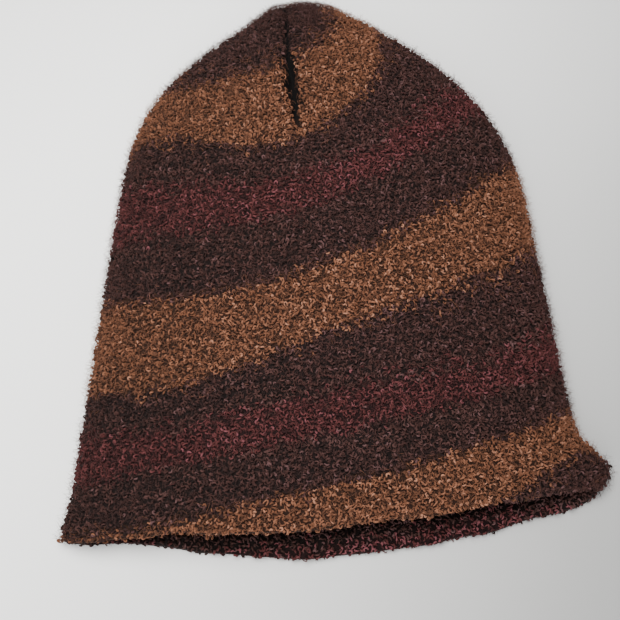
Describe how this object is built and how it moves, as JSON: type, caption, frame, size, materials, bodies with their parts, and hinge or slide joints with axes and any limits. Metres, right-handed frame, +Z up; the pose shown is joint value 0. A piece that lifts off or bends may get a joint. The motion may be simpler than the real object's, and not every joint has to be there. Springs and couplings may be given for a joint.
{
  "type": "knit beanie",
  "caption": "Soft single-layer knit beanie with a darted crown and no cuff, lying flat on its back with its mouth slightly open.",
  "frame": {"origin": "middle of the hat's outline, on the surface that it lies on", "axes": "+Z up out of that surface towards the front of the hat, +Y from the mouth to the crown, +X to the right seen from above with the crown at the far end"},
  "size_m": [0.2212, 0.2664, 0.0269],
  "materials": {
    "knit_yarn": "fuzzy looped wool yarn, matt, in diagonal golden brown, plum brown and wine bands",
    "edge_yarn": "the same fuzzy looped yarn, in a cast-off chain",
    "seam_thread": "twisted dark sewing thread, dull",
    "tail_yarn": "fuzzy yarn end, matt"
  },
  "bodies": {
    "root": {"knit_shell": "knit_yarn", "brim_edge": "edge_yarn", "dart_seam_front": "seam_thread", "dart_seam_back": "seam_thread", "dart_seam_left": "seam_thread", "dart_seam_right": "seam_thread", "crown_tack": "seam_thread", "yarn_tail_start": "tail_yarn", "yarn_tail_end": "tail_yarn"}
  },
  "joints": []
}
